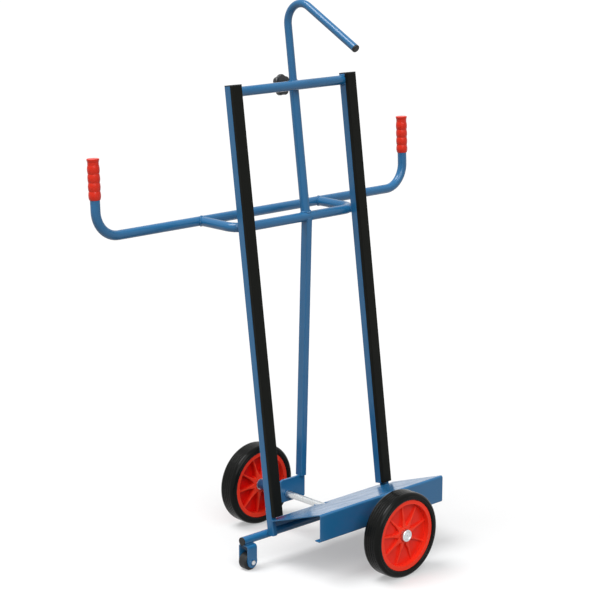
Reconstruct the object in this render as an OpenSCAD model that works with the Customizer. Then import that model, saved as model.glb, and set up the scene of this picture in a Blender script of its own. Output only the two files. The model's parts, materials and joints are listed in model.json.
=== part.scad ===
// Board cart: a leaning tube frame with a folded deck, two big wheels,
// two small support rollers, a pair of push handles and an adjustable hook.
// X runs along the cart, Y from the loading side to the user, Z up from the floor.

/* [Frame] */
// Angle by which the uprights lean back from the vertical
lean = 7.7; // [4:0.1:12]
// Distance over the outer faces of the two uprights
upright_span = 485; // [400:1:490]
// Width of an upright tube along the cart
upright_w = 35; // [28:1:40]
// Depth of an upright tube
upright_d = 25; // [20:1:30]
// Wall of an upright tube
upright_wall = 2; // [1.5:0.1:3]
// Lower end of the uprights, along their slope from the floor
upright_foot = 89; // [80:1:90]
// Width of an upright's foot, left beside the deck where the tube is cut away
foot_w = 15; // [12:0.5:20]
// Upper end of the uprights, along their slope from the floor
upright_top = 1384; // [1300:1:1500]
// Thickness of the rubber strips on the uprights
strip_t = 12.5; // [8:0.5:18]
// Thickness of the plastic caps on the uprights
cap_t = 3; // [2:0.5:5]
// Diameter of the round frame tubes
tube_d = 28; // [25:0.5:30]
// Wall of the round frame tubes
tube_wall = 2; // [1.5:0.1:2.5]
// Height of the crossbar below the top of the uprights
crossbar_drop = 18; // [15:1:40]

/* [Handle] */
// Distance of the loop and the handlebar below the uprights' tops, along their slope
handle_drop = 401.7; // [340:0.1:450]
// Distance from the loop's base back to the handlebar
handle_reach = 160; // [130:1:200]
// Distance of a loop leg outside the middle of an upright
loop_spread = 10; // [0:1:15]
// Bend radius of the loop, at the tube's axis
loop_bend_r = 45; // [35:1:70]
// Distance of a handlebar arm from the middle of the cart
arm_x = 611; // [450:1:650]
// Bend radius of the handlebar, at the tube's axis
arm_bend_r = 75; // [50:1:100]
// Angle by which the handlebar arms lean back
arm_lean = 2.5; // [0:0.1:2.5]
// Length of a grip
grip_len = 115; // [100:1:140]
// Height of a grip's lower end above the handlebar's axis
grip_rise = 108; // [100:1:130]
// Largest diameter of a grip
grip_d = 35.5; // [33:0.5:38]
// Number of finger waves on a grip
grip_waves = 4; // [3:1:8]

/* [Deck] */
// Length of the deck along the cart
deck_len = 503; // [490:1:600]
// Height of the lip under the front plate
lip_z = 129.5; // [126:0.5:132]
// Height of the deck's front plate over its bends
plate_h = 84; // [70:1:95]
// Angle by which the deck falls towards the uprights
deck_fall = 19.4; // [15:0.1:20]
// Depth of the lip under the front plate
lip_d = 22; // [15:1:30]
// Distance from the front plate back to the uprights at floor level
foot_depth = 217.5; // [205:0.5:225]
// Thickness of the deck's sheet steel
sheet_t = 3; // [2:0.1:4]
// Inner bend radius of the deck's sheet steel
sheet_r = 3; // [1:0.1:5]

/* [Wheels] */
// Diameter of a wheel over its tyre
wheel_d = 250; // [240:1:260]
// Width of a wheel
wheel_w = 60; // [50:1:66]
// Distance between the middle planes of the two wheels
wheel_track = 610; // [590:1:640]
// Gap between the front wheel and the front plate
wheel_gap = 60; // [45:1:70]
// Place of the axle along the cart, from its middle
axle_x = -23; // [-40:1:10]
// Diameter of the axle
axle_d = 20; // [16:1:22]
// Diameter of the rim under the tyre
rim_d = 207; // [195:1:215]
// Width of the rim's outer ring, seen from the side
ring_t = 12; // [10:1:20]
// Number of ribs on each side of a rim
rib_count = 9; // [5:1:12]
// Angle of the first rib from the cart's long axis
rib_phase = 13.7; // [0:0.1:40]
// Thickness of a rib
rib_t = 4.5; // [3:0.1:7]
// Depth of the rim's panel below its outer face
panel_depth = 17; // [12:1:18]
// Depth of the hub's ends below the tyre's faces
hub_recess = 12.5; // [6:0.5:14]
// Diameter of the metal cap on an axle end
axle_cap_d = 36; // [34:1:46]

/* [Support rollers] */
// Length of the roller tube
roller_tube_len = 658; // [600:1:800]
// Diameter of the roller tube
roller_tube_d = 24; // [20:1:26]
// Height of the roller tube's axis above the floor
roller_tube_z = 89; // [86:1:93]
// Diameter of a support roller
roller_d = 50; // [44:1:54]
// Width of a support roller
roller_w = 30; // [24:1:34]
// Width of a fork along the cart
fork_w = 34; // [30:1:40]
// Thickness of a fork's flat steel
fork_t = 4; // [3:0.5:5]
// Diameter of a roller's bolt
bolt_d = 8; // [6:1:10]

/* [Hook] */
// Place of the clamp sleeve along the cart, from its middle
spine_x = 37; // [20:1:50]
// Diameter of the hook tube
hook_d = 23; // [18:0.5:23.4]
// Wall of the hook tube
hook_wall = 2; // [1.5:0.1:2.5]
// Height of the hook tube's lower end above the clamp sleeve's
hook_foot_rise = 76; // [65:1:120]
// Start of the hook's bend above the uprights' tops, along their slope
hook_rise = 155; // [130:1:200]
// Bend radius of the hook, at the tube's axis
hook_bend_r = 58; // [45:1:70]
// Angle through which the hook is bent
hook_bend = 126.5; // [110:0.5:130]
// Length of the hook's straight arm
hook_arm = 216; // [150:1:230]
// Diameter of the star knob
knob_d = 64; // [54:1:70]
// Thickness of the star knob
knob_t = 17; // [12:1:24]
// Number of lobes on the star knob
knob_lobes = 7; // [5:1:9]

/* [Hidden] */
$fn = 64;

// Overrun of every cut
over = 5;
// Gap left for the weld where two steel pieces meet
weld_gap = 0.2;
// Radial clearance of a running fit
run_gap = 0.05;
// Play between a part that turns or slides and its neighbour
play = 0.5;
// Radial clearance of a plug, a grip or a bolt in its hole
plug_gap = 0.1;

// Colours of the finishes
blue = "steelblue";
black = "#1c1c1c";
red = "#d8281c";
zinc = "#c4c6c8";

// Places along the leaning frame: n is measured back from the uprights' back faces
function lean_y(n, s) = foot_y + n * cos(lean) + s * sin(lean);
function lean_s(n, z) = (z + n * sin(lean)) / cos(lean);

wheel_r = wheel_d / 2;
axle_r = axle_d / 2;
axle_z = wheel_r;
tube_r = tube_d / 2;
tube_bore = tube_d - 2 * tube_wall;
deck_y = -wheel_track / 2 + wheel_w / 2 + wheel_gap;
foot_y = deck_y + foot_depth;
upright_x = (upright_span - upright_w) / 2;
upright_corner = 3;
inner_x = upright_x - upright_w / 2;
strip_corner = 3;
cap_plug_h = 12;

crossbar_s = upright_top - crossbar_drop;
crossbar_n = -upright_d / 2;
spine_n = crossbar_n + tube_d + weld_gap;
sleeve_top = upright_top - cap_t;
sleeve_bore = hook_d + 2 * play;

// The loop's bends touch the uprights' inner back edges
loop_leg_x = upright_x + loop_spread;
loop_outer_r = loop_bend_r + tube_r;
loop_touch = 30;
loop_edge = max(0, inner_x + upright_corner * (1 - sin(loop_touch)) - loop_leg_x + loop_bend_r);
loop_rise = loop_outer_r - sqrt(pow(loop_outer_r, 2) - pow(loop_edge, 2));
loop_n = tube_r + weld_gap - loop_rise - upright_corner * (1 - cos(loop_touch));
loop_s = upright_top - handle_drop;
handle_z = loop_s * cos(lean) - loop_n * sin(lean);
loop_y = lean_y(loop_n, loop_s);
sleeve_lift = 4;
sleeve_foot = loop_s + sleeve_lift;
hook_foot = sleeve_foot + hook_foot_rise;
hook_bend_s = upright_top + hook_rise;
bar_y = loop_y + handle_reach;
grip_end_t = 6;
arm_top = grip_rise + grip_len - grip_end_t;

// Deck: the lip is notched over the axle and the rear flange stands on the roller tube
roller_tube_r = roller_tube_d / 2;
roller_tube_wall = 2;
roller_tube_n = roller_tube_r + weld_gap;
roller_tube_y = lean_y(roller_tube_n, lean_s(roller_tube_n, roller_tube_z));
flange_y = roller_tube_y + sheet_t / 2;
flange_top = lip_z + plate_h - (flange_y - deck_y) * tan(deck_fall);
flange_foot = roller_tube_z + roller_tube_r + weld_gap;
deck_outer_r = sheet_r + sheet_t;
plate_turn = 90 + deck_fall;
flange_turn = 90 - deck_fall;
plate_setback = deck_outer_r * tan(plate_turn / 2);
flange_setback = deck_outer_r * tan(flange_turn / 2);
// Clearance of the deck round the uprights' feet and the axle
deck_gap = 2;
// Clearance over the deck, under the strips and the cut away part of the uprights
deck_room = 6;

// Lowest place of a leaning piece over the deck, for a front face d before the uprights' back faces
function over_deck(d) =
    (lip_z + plate_h + deck_room - d * sin(lean) - (foot_depth - d * cos(lean)) * tan(deck_fall))
    / (cos(lean) + sin(lean) * tan(deck_fall));
notch_s = over_deck(upright_d);
strip_foot = over_deck(upright_d + strip_t);

// Rear strut and the plate that holds the axle behind the frame
strut_w = 20;
strut_d = 28;
strut_wall = 2;
strut_corner = 3;
plate_t = 8;
plate_edge = 25;
plate_corner = 8;
axle_plate_y = 170;
axle_plate_top = axle_z + plate_edge + strut_w;

// Wheel: hub, bushes, washers and caps on the axle
bush_wall = 3;
bush_len = 16;
hub_wall = 12;
hub_r = axle_r + bush_wall + hub_wall;
hub_taper = 4;
web_t = 5;
rim_inset = 5;
rib_flare = 22;
rib_flare_w = 13;
rib_drop = 14;
tyre_shoulder = 13;
tyre_foot_r = 6;
washer_t = 2.5;
washer_edge = 4;
washer_r = axle_r + bush_wall + washer_edge;
cap_wall = 2;
cap_recess = 2;
axle_cap_h = 9;
spacer_wall = 5;
hub_face = wheel_w / 2 - hub_recess;
axle_half = wheel_track / 2 + hub_face + play + washer_t + axle_cap_h - cap_recess - cap_wall;

// Support rollers
fork_gap = roller_w + 4 * play;
fork_r = 5;
fork_inset = 4;
fork_x = roller_tube_len / 2 - fork_w / 2 - fork_inset;
roller_r = roller_d / 2;
roller_edge = 5;
roller_bush_wall = 3;
roller_bush_r = bolt_d / 2 + roller_bush_wall;
fork_top = roller_tube_z - roller_tube_r - weld_gap;
fork_foot_r = fork_w / 2;
bolt_head_t = 5.3;
bolt_head_share = 1.85;
bolt_head_d = bolt_d * bolt_head_share;
nut_t = 6.5;
bolt_end = 3;

// Clamp on the sleeve
clamp_rise = 3;
clamp_s = crossbar_s + clamp_rise;
screw_d = 10;
nut_af = 17;
clamp_nut_t = 9;
knob_stand = 43;
knob_boss_d = 24;
knob_boss_t = 10;
knob_lobe_share = 0.143;
knob_core_share = 0.42;
knob_edge_r = 5;
hook_cap_t = 6;
// The arm starts a little inside the bend and is a hair thinner, so they join at any angle
bend_lap = 1.5;
bend_step = 0.05;
hook_plug_len = 14;
flange_t = 4;

// Flat strips in each bend of a folded sheet
fold_steps = 8;

// Shapes

module rounded(w, d, r) {
    square([w - 2 * r, d], center = true);
    square([w, d - 2 * r], center = true);
    for (x = [-1, 1], y = [-1, 1])
        translate([x * (w / 2 - r), y * (d / 2 - r)])
            circle(r);
}

module box_tube(w, d, wall, r, length) {
    linear_extrude(length)
        difference() {
            rounded(w, d, r);
            rounded(w - 2 * wall, d - 2 * wall, r - wall);
        }
}

module pipe(outer, bore, length) {
    difference() {
        cylinder(d = outer, h = length);
        translate([0, 0, -over])
            cylinder(d = bore, h = length + 2 * over);
    }
}

module along_x(length) {
    translate([-length / 2, 0, 0])
        rotate([0, 90, 0])
            children();
}

// Line along one side of a folded sheet: a straight stretch, a turn to the right and so on
function heading(a) = [cos(a), sin(a)];
function fold_line(lengths, turns, r, p, a = 0, i = 0) =
    let (q = p + lengths[i] * heading(a))
    i == len(turns) ? [q] :
    let (c = q + r * heading(a - 90), b = a - turns[i])
    concat([for (k = [0 : fold_steps]) c + r * heading(a + 90 - turns[i] * k / fold_steps)],
        fold_line(lengths, turns, r, c + r * heading(b + 90), b, i + 1));

module folded(lengths, turns, t, r) {
    outer = fold_line(lengths, turns, r + t, [0, 0]);
    inner = fold_line(lengths, turns, r, [0, -t]);
    polygon(concat([[0, -t], [0, 0]], outer, [for (i = [len(inner) - 1 : -1 : 0]) inner[i]]));
}

module profile_along_x(width) {
    translate([-width / 2, 0, 0])
        rotate([90, 0, 90])
            linear_extrude(width)
                children();
}

module leaning() {
    translate([0, foot_y, 0])
        rotate([-lean, 0, 0])
            children();
}

module hexagon(af, h) {
    cylinder(d = af / cos(30), h = h, $fn = 6);
}

// Frame

module upright(side) {
    color(blue)
        leaning()
            translate([side * upright_x, -upright_d / 2, upright_foot])
                difference() {
                    box_tube(upright_w, upright_d, upright_wall, upright_corner, upright_top - upright_foot);
                    translate([-side * foot_w, 0, 0])
                        cube([upright_w, 2 * upright_d, 2 * (notch_s - upright_foot)], center = true);
                }
}

module rubber_strip(side) {
    color(black)
        leaning()
            translate([side * upright_x, -upright_d - strip_t / 2, strip_foot])
                linear_extrude(upright_top - strip_foot) {
                    rounded(upright_w, strip_t, strip_corner);
                    translate([-upright_w / 2, 0])
                        square([upright_w, strip_t / 2]);
                }
}

module upright_cap(side) {
    plug_w = upright_w - 2 * upright_wall - 2 * plug_gap;
    plug_d = upright_d - 2 * upright_wall - 2 * plug_gap;
    color(black)
        leaning()
            translate([side * upright_x, 0, upright_top]) {
                translate([0, -(upright_d + strip_t) / 2, 0])
                    linear_extrude(cap_t)
                        rounded(upright_w, upright_d + strip_t, upright_corner);
                translate([0, -upright_d / 2, -cap_plug_h])
                    linear_extrude(cap_plug_h)
                        rounded(plug_w, plug_d, upright_corner - upright_wall);
            }
}

module top_crossbar() {
    length = 2 * (inner_x - weld_gap);
    color(blue)
        leaning()
            translate([0, crossbar_n, crossbar_s])
                along_x(length)
                    pipe(tube_d, tube_bore, length);
}

module loop_axis_cut() {
    translate([0, loop_y, handle_z])
        along_x(upright_span)
            cylinder(r = tube_r + weld_gap, h = upright_span);
}

module clamp_sleeve() {
    color(blue)
        difference() {
            leaning()
                translate([spine_x, spine_n, sleeve_foot])
                    pipe(tube_d, sleeve_bore, sleeve_top - sleeve_foot);
            loop_axis_cut();
            leaning()
                translate([spine_x, spine_n, clamp_s])
                    rotate([-90, 0, 0])
                        cylinder(d = screw_d + 2 * play, h = tube_d);
        }
}

module clamp_nut() {
    seat = sqrt(pow(tube_r, 2) - pow(nut_af / 2, 2));
    color(blue)
        leaning()
            translate([spine_x, spine_n, clamp_s])
                difference() {
                    translate([0, seat, 0])
                        rotate([-90, 0, 0])
                            hexagon(nut_af, clamp_nut_t);
                    rotate([-90, 0, 0])
                        cylinder(d = screw_d + 2 * run_gap, h = tube_d + clamp_nut_t);
                    translate([0, 0, -nut_af])
                        cylinder(r = tube_r + weld_gap, h = 2 * nut_af);
                }
}

// Handle

module loop_path(d, spare) {
    straight = 2 * (loop_leg_x - loop_bend_r);
    along_x(straight)
        cylinder(d = d, h = straight);
    for (side = [0, 1])
        mirror([side, 0, 0])
            translate([loop_leg_x - loop_bend_r, loop_bend_r, 0]) {
                rotate([0, 0, -90])
                    rotate_extrude(angle = 90)
                        translate([loop_bend_r, 0])
                            circle(d = d);
                translate([loop_bend_r, 0, 0])
                    rotate([-90, 0, 0])
                        cylinder(d = d, h = handle_reach - loop_bend_r + spare);
            }
}

module handle_loop() {
    color(blue)
        difference() {
            translate([0, loop_y, handle_z])
                difference() {
                    loop_path(tube_d, 0);
                    loop_path(tube_bore, over);
                }
            translate([0, bar_y, handle_z])
                along_x(2 * arm_x)
                    cylinder(r = tube_r + weld_gap, h = 2 * arm_x);
        }
}

module handlebar_path(d, spare) {
    straight = 2 * (arm_x - arm_bend_r);
    along_x(straight)
        cylinder(d = d, h = straight);
    for (side = [0, 1])
        mirror([side, 0, 0])
            translate([arm_x - arm_bend_r, 0, arm_bend_r]) {
                rotate([90, 0, 0])
                    rotate([0, 0, -90])
                        rotate_extrude(angle = 90)
                            translate([arm_bend_r, 0])
                                circle(d = d);
                translate([arm_bend_r, 0, 0])
                    cylinder(d = d, h = arm_top - arm_bend_r + spare);
            }
}

module at_handlebar() {
    translate([0, bar_y, handle_z])
        rotate([-arm_lean, 0, 0])
            children();
}

module handlebar() {
    color(blue)
        at_handlebar()
            difference() {
                handlebar_path(tube_d, 0);
                handlebar_path(tube_bore, over);
            }
}

module grip_profile() {
    bore_r = tube_r + plug_gap;
    wave_h = 1.7;
    mouth_drop = 2.5;
    head_h = 18;
    flare_h = 10;
    collar_h = 4;
    edge_r = 1.5;
    pitch = (grip_len - head_h) / grip_waves;
    wave_r = pow(pitch, 2) / (8 * wave_h) + wave_h / 2;
    mouth_r = pow(pitch, 2) / (8 * mouth_drop) + mouth_drop / 2;
    valley_r = grip_d / 2 - wave_h;
    difference() {
        union() {
            intersection() {
                translate([grip_d / 2 - mouth_r, pitch / 2])
                    circle(mouth_r);
                square([grip_d, pitch / 2]);
            }
            for (i = [0 : grip_waves - 1])
                intersection() {
                    translate([grip_d / 2 - wave_r, (i + 0.5) * pitch])
                        circle(wave_r);
                    translate([0, max(i, 0.5) * pitch])
                        square([grip_d, (min(i, 0.5) + 0.5) * pitch]);
                }
            translate([0, pitch])
                square([valley_r, grip_len - pitch - edge_r]);
            translate([0, grip_len - flare_h])
                polygon([[0, 0], [valley_r, 0], [grip_d / 2, flare_h - collar_h],
                    [grip_d / 2, flare_h - edge_r], [0, flare_h - edge_r]]);
            translate([0, grip_len - edge_r])
                square([grip_d / 2 - edge_r, edge_r]);
            translate([grip_d / 2 - edge_r, grip_len - edge_r])
                circle(edge_r);
        }
        translate([0, -over])
            square([bore_r, grip_len - grip_end_t + plug_gap + over]);
    }
}

module grip(side) {
    color(red)
        at_handlebar()
            translate([side * arm_x, 0, grip_rise])
                rotate_extrude()
                    grip_profile();
}

// Chassis

module rear_strut() {
    foot = [spine_x, axle_plate_y, axle_plate_top];
    drop = handle_z - foot[2];
    back = foot[1] - loop_y;
    length = sqrt(pow(drop, 2) + pow(back, 2));
    color(blue)
        difference() {
            translate(foot)
                rotate([atan2(back, drop), 0, 0])
                    translate([0, 0, -strut_d])
                        box_tube(strut_w, strut_d, strut_wall, strut_corner, length + strut_d);
            loop_axis_cut();
            translate([spine_x, axle_plate_y, axle_plate_top - strut_d])
                cube([2 * strut_d, 2 * strut_d, 2 * (strut_d + weld_gap)], center = true);
        }
}

module axle_plate() {
    left = axle_x - plate_edge;
    right = spine_x + strut_w / 2 + strut_wall;
    foot = axle_z - plate_edge;
    color(blue)
        difference() {
            translate([(left + right) / 2, axle_plate_y + plate_t / 2, (foot + axle_plate_top) / 2])
                rotate([90, 0, 0])
                    linear_extrude(plate_t)
                        rounded(right - left, axle_plate_top - foot, plate_corner);
            translate([axle_x, axle_plate_y + plate_t, axle_z])
                rotate([90, 0, 0])
                    cylinder(r = axle_r + plug_gap, h = 2 * plate_t);
        }
}

module deck() {
    top_run = (flange_y - deck_y) / cos(deck_fall) - plate_setback - flange_setback;
    lengths = [lip_d - deck_outer_r, plate_h - deck_outer_r - plate_setback, top_run,
        flange_top - flange_foot - flange_setback];
    axle_top = axle_z + axle_r + deck_gap;
    slot_y = deck_y + (lip_z + plate_h - sheet_t / cos(deck_fall) - axle_top) / tan(deck_fall);
    slot_w = axle_d + 2 * deck_gap;
    corner_x = upright_span / 2 - foot_w - deck_gap;
    corner_y = lean_y(-upright_d, upright_foot) - deck_gap;
    corner_w = deck_len;
    color(blue)
        difference() {
            profile_along_x(deck_len)
                translate([deck_y + lip_d, lip_z])
                    rotate(180)
                        folded(lengths, [90, plate_turn, flange_turn], sheet_t, sheet_r);
            for (side = [-1, 1])
                translate([side * (corner_x + corner_w / 2), corner_y + foot_depth / 2, lip_z])
                    cube([corner_w, foot_depth, wheel_d], center = true);
            translate([axle_x, slot_y + foot_depth / 2, lip_z])
                cube([slot_w, foot_depth, wheel_d], center = true);
            translate([axle_x, deck_y + foot_depth, axle_z])
                rotate([90, 0, 0])
                    cylinder(r = axle_r + weld_gap, h = 2 * foot_depth);
        }
}

module axle() {
    color(zinc)
        translate([axle_x, axle_half, axle_z])
            rotate([90, 0, 0])
                cylinder(r = axle_r, h = 2 * axle_half);
}

module axle_saddle() {
    color(blue)
        difference() {
            translate([axle_x, roller_tube_y, (axle_z + roller_tube_z) / 2])
                cube([axle_d, roller_tube_d, axle_z - roller_tube_z], center = true);
            translate([axle_x, roller_tube_y + axle_d, axle_z])
                rotate([90, 0, 0])
                    cylinder(r = axle_r + weld_gap, h = 2 * axle_d);
            translate([axle_x, roller_tube_y, roller_tube_z])
                along_x(2 * axle_d)
                    cylinder(r = roller_tube_r + weld_gap, h = 2 * axle_d);
        }
}

module spacer(from, to) {
    color(blue)
        translate([axle_x, from, axle_z])
            rotate([-90, 0, 0])
                pipe(2 * (axle_r + spacer_wall), 2 * (axle_r + plug_gap), to - from);
}

module front_spacer() {
    spacer(-wheel_track / 2 + hub_face + play + washer_t, deck_y - weld_gap);
}

module rear_spacer() {
    spacer(axle_plate_y + plate_t / 2 + weld_gap, wheel_track / 2 - hub_face - play - washer_t);
}

// A wheel's middle, with its outer side towards +Z
module at_wheel(side) {
    translate([axle_x, side * wheel_track / 2, axle_z])
        rotate([-90 * side, 0, 0])
            children();
}

module axle_washers() {
    color(zinc)
        for (side = [-1, 1])
            at_wheel(side)
                for (z = [hub_face + play, -hub_face - play - washer_t])
                    translate([0, 0, z])
                        pipe(2 * washer_r, 2 * (axle_r + plug_gap), washer_t);
}

module axle_cap(side) {
    rim_r = axle_cap_d / 2;
    roll_r = 3.5;
    dish_r = rim_r - 2 * roll_r;
    dimple_r = 1.8;
    dimple_h = 1;
    disc_z = axle_cap_h - cap_recess;
    color(zinc)
        at_wheel(side)
            translate([0, 0, hub_face + play + washer_t])
                rotate_extrude()
                    difference() {
                        union() {
                            square([rim_r, axle_cap_h - roll_r]);
                            square([dish_r + roll_r, disc_z]);
                            translate([rim_r - roll_r, axle_cap_h - roll_r])
                                circle(roll_r);
                        }
                        square([axle_r + plug_gap, disc_z - cap_wall]);
                        translate([0, disc_z - dimple_h])
                            square([dimple_r, axle_cap_h]);
                    }
}

// Wheels

// A rib's plan flares towards the hub, and its two edges fall towards the ring
module rib(half, reach) {
    flare_r = hub_r + rib_flare;
    intersection() {
        translate([0, 0, -half])
            linear_extrude(2 * half)
                polygon([[hub_r, -rib_flare_w / 2], [flare_r, -rib_t / 2], [reach, -rib_t / 2],
                    [reach, rib_t / 2], [flare_r, rib_t / 2], [hub_r, rib_flare_w / 2]]);
        rotate([90, 0, 0])
            translate([0, 0, -rib_flare_w])
                linear_extrude(2 * rib_flare_w)
                    polygon([[hub_r, -hub_face], [reach, rib_drop - half],
                        [reach, half - rib_drop], [hub_r, hub_face]]);
    }
}

module rim(side) {
    rim_r = rim_d / 2;
    ring_r = rim_r - ring_t;
    half = wheel_w / 2 - rim_inset;
    panel_z = half - panel_depth;
    bush_r = axle_r + bush_wall;
    color(red)
        at_wheel(side)
            difference() {
                union() {
                    translate([0, 0, -half])
                        pipe(rim_d, 2 * ring_r, 2 * half);
                    translate([0, 0, panel_z - web_t])
                        cylinder(r = ring_r + rib_t / 2, h = web_t);
                    for (up = [0, 1])
                        mirror([0, 0, up])
                            cylinder(r1 = hub_r + hub_taper, r2 = hub_r, h = hub_face);
                    for (i = [0 : rib_count - 1])
                        rotate([0, 0, rib_phase + i * 360 / rib_count])
                            rib(half, ring_r + rib_t / 2);
                }
                translate([0, 0, -wheel_w])
                    cylinder(r = bush_r, h = 2 * wheel_w);
            }
}

module tyre_profile() {
    h = wheel_r - rim_d / 2;
    half = wheel_w / 2;
    translate([rim_d / 2, 0]) {
        translate([tyre_foot_r, -half])
            square([h - tyre_foot_r - tyre_shoulder, wheel_w]);
        translate([0, tyre_foot_r - half])
            square([tyre_foot_r, wheel_w - 2 * tyre_foot_r]);
        translate([0, tyre_shoulder - half])
            square([h, wheel_w - 2 * tyre_shoulder]);
        for (up = [-1, 1]) {
            translate([tyre_foot_r, up * (half - tyre_foot_r)])
                circle(tyre_foot_r);
            translate([h - tyre_shoulder, up * (half - tyre_shoulder)])
                circle(tyre_shoulder);
        }
    }
}

module tyre(side) {
    color(black)
        at_wheel(side)
            rotate_extrude()
                intersection() {
                    tyre_profile();
                    translate([rim_d / 2, -wheel_w])
                        square([wheel_w, 2 * wheel_w]);
                }
}

module wheel_bushes(side) {
    color(zinc)
        at_wheel(side)
            for (z = [hub_face - bush_len, -hub_face])
                translate([0, 0, z])
                    pipe(2 * (axle_r + bush_wall), 2 * (axle_r + run_gap), bush_len);
}

// Support rollers

module roller_tube() {
    color(blue)
        translate([0, roller_tube_y, roller_tube_z])
            along_x(roller_tube_len)
                pipe(roller_tube_d, roller_tube_d - 2 * roller_tube_wall, roller_tube_len);
}

module tube_cap(side) {
    plug_r = roller_tube_r - roller_tube_wall - plug_gap;
    color(black)
        translate([side * roller_tube_len / 2, roller_tube_y, roller_tube_z])
            rotate([0, 90 * side, 0]) {
                cylinder(r = roller_tube_r, h = cap_t);
                translate([0, 0, -cap_plug_h])
                    cylinder(r = plug_r, h = cap_plug_h);
            }
}

// A roller's middle, with its bolt along +Z towards the user
module at_roller(side) {
    translate([side * fork_x, roller_tube_y, roller_r])
        rotate([-90, 0, 0])
            children();
}

module fork(side) {
    outer = fork_gap + 2 * fork_t;
    bend = fork_t + fork_r;
    leg = fork_top - roller_r + fork_foot_r - bend;
    color(blue)
        difference() {
            translate([side * fork_x, 0, 0])
                profile_along_x(fork_w)
                    translate([roller_tube_y - outer / 2, roller_r - fork_foot_r])
                        rotate(90)
                            folded([leg, outer - 2 * bend, leg], [90, 90], fork_t, fork_r);
            at_roller(side) {
                translate([0, 0, -outer])
                    cylinder(r = bolt_d / 2 + plug_gap, h = 2 * outer);
                difference() {
                    translate([-fork_w, 0, -outer])
                        cube([2 * fork_w, 2 * fork_w, 2 * outer]);
                    translate([0, 0, -2 * outer])
                        cylinder(r = fork_foot_r, h = 4 * outer);
                }
            }
        }
}

module roller(side) {
    half = roller_w / 2;
    color(black)
        at_roller(side)
            rotate_extrude()
                translate([roller_bush_r, 0])
                    difference() {
                        translate([0, -half])
                            square([roller_r - roller_bush_r, roller_w]);
                        for (up = [-1, 1])
                            translate([roller_r - roller_bush_r - roller_edge, up * (half - roller_edge)])
                                difference() {
                                    translate([0, up > 0 ? 0 : -2 * roller_edge])
                                        square(2 * roller_edge);
                                    circle(roller_edge);
                                }
                    }
}

module roller_bush(side) {
    color(zinc)
        at_roller(side)
            translate([0, 0, -roller_w / 2 - play])
                pipe(2 * roller_bush_r, bolt_d + 2 * run_gap, roller_w + 2 * play);
}

module roller_bolt(side) {
    face = fork_gap / 2 + fork_t;
    color(zinc)
        at_roller(side)
            translate([0, 0, -face - bolt_head_t]) {
                cylinder(d = bolt_head_d, h = bolt_head_t, $fn = 6);
                cylinder(d = bolt_d, h = bolt_head_t + 2 * face + nut_t + bolt_end);
            }
}

module roller_nut(side) {
    face = fork_gap / 2 + fork_t;
    color(zinc)
        at_roller(side)
            translate([0, 0, face])
                difference() {
                    cylinder(d = bolt_head_d, h = nut_t, $fn = 6);
                    translate([0, 0, -over])
                        cylinder(d = bolt_d + 2 * plug_gap, h = nut_t + 2 * over);
                }
}

// Hook and its clamp

module at_sleeve() {
    leaning()
        translate([spine_x, spine_n, 0])
            children();
}

module at_hook_arm() {
    translate([0, -hook_bend_r, hook_bend_s])
        rotate([hook_bend, 0, 0])
            translate([0, hook_bend_r, 0])
                children();
}

module hook_path(d, spare) {
    translate([0, 0, hook_foot - spare])
        cylinder(d = d, h = hook_bend_s - hook_foot + spare);
    translate([0, -hook_bend_r, hook_bend_s])
        rotate([90, 0, 90])
            rotate_extrude(angle = hook_bend)
                translate([hook_bend_r, 0])
                    circle(d = d);
    at_hook_arm()
        translate([0, 0, -bend_lap])
            cylinder(d = d - 2 * bend_step, h = bend_lap + hook_arm + spare);
}

module hook_tube() {
    color(blue)
        at_sleeve()
            difference() {
                hook_path(hook_d, 0);
                hook_path(hook_d - 2 * hook_wall, over);
            }
}

module hook_end_cap() {
    color(black)
        at_sleeve()
            at_hook_arm() {
                translate([0, 0, hook_arm])
                    rotate_extrude()
                        intersection() {
                            union() {
                                square([hook_d / 2, hook_cap_t / 2]);
                                square([(hook_d - hook_cap_t) / 2, hook_cap_t]);
                                translate([(hook_d - hook_cap_t) / 2, hook_cap_t / 2])
                                    circle(hook_cap_t / 2);
                            }
                            square([hook_d, hook_cap_t]);
                        }
                translate([0, 0, hook_arm - hook_plug_len])
                    cylinder(r = hook_d / 2 - hook_wall - plug_gap, h = hook_plug_len);
            }
}

module hook_guide_plug() {
    color(black)
        at_sleeve()
            translate([0, 0, hook_foot - play]) {
                translate([0, 0, -flange_t])
                    cylinder(r = sleeve_bore / 2 - plug_gap, h = flange_t);
                cylinder(r = hook_d / 2 - hook_wall - plug_gap, h = hook_plug_len);
            }
}

// The clamp screw's axis, from the sleeve's axis back towards the user
module at_clamp() {
    at_sleeve()
        translate([0, 0, clamp_s])
            rotate([-90, 0, 0])
                children();
}

// Turned outline that rounds the knob's lobes on both faces
module knob_edge() {
    reach = knob_d / 2 + play;
    square([reach - knob_edge_r, knob_t]);
    translate([0, knob_edge_r])
        square([reach, knob_t - 2 * knob_edge_r]);
    for (z = [knob_edge_r, knob_t - knob_edge_r])
        translate([reach - knob_edge_r, z])
            circle(knob_edge_r);
}

module star_knob() {
    lobe_r = knob_d * knob_lobe_share;
    core_r = knob_d * knob_core_share;
    color(black)
        at_clamp()
            difference() {
                union() {
                    translate([0, 0, knob_stand])
                        intersection() {
                            linear_extrude(knob_t)
                                union() {
                                    circle(core_r);
                                    for (i = [0 : knob_lobes - 1])
                                        rotate(i * 360 / knob_lobes - 90)
                                            translate([knob_d / 2 - lobe_r, 0])
                                                circle(lobe_r);
                                }
                            rotate_extrude()
                                knob_edge();
                        }
                    translate([0, 0, knob_stand - knob_boss_t])
                        cylinder(d = knob_boss_d, h = knob_boss_t);
                }
                cylinder(d = screw_d + 2 * run_gap, h = knob_stand + knob_t / 2);
            }
}

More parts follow.
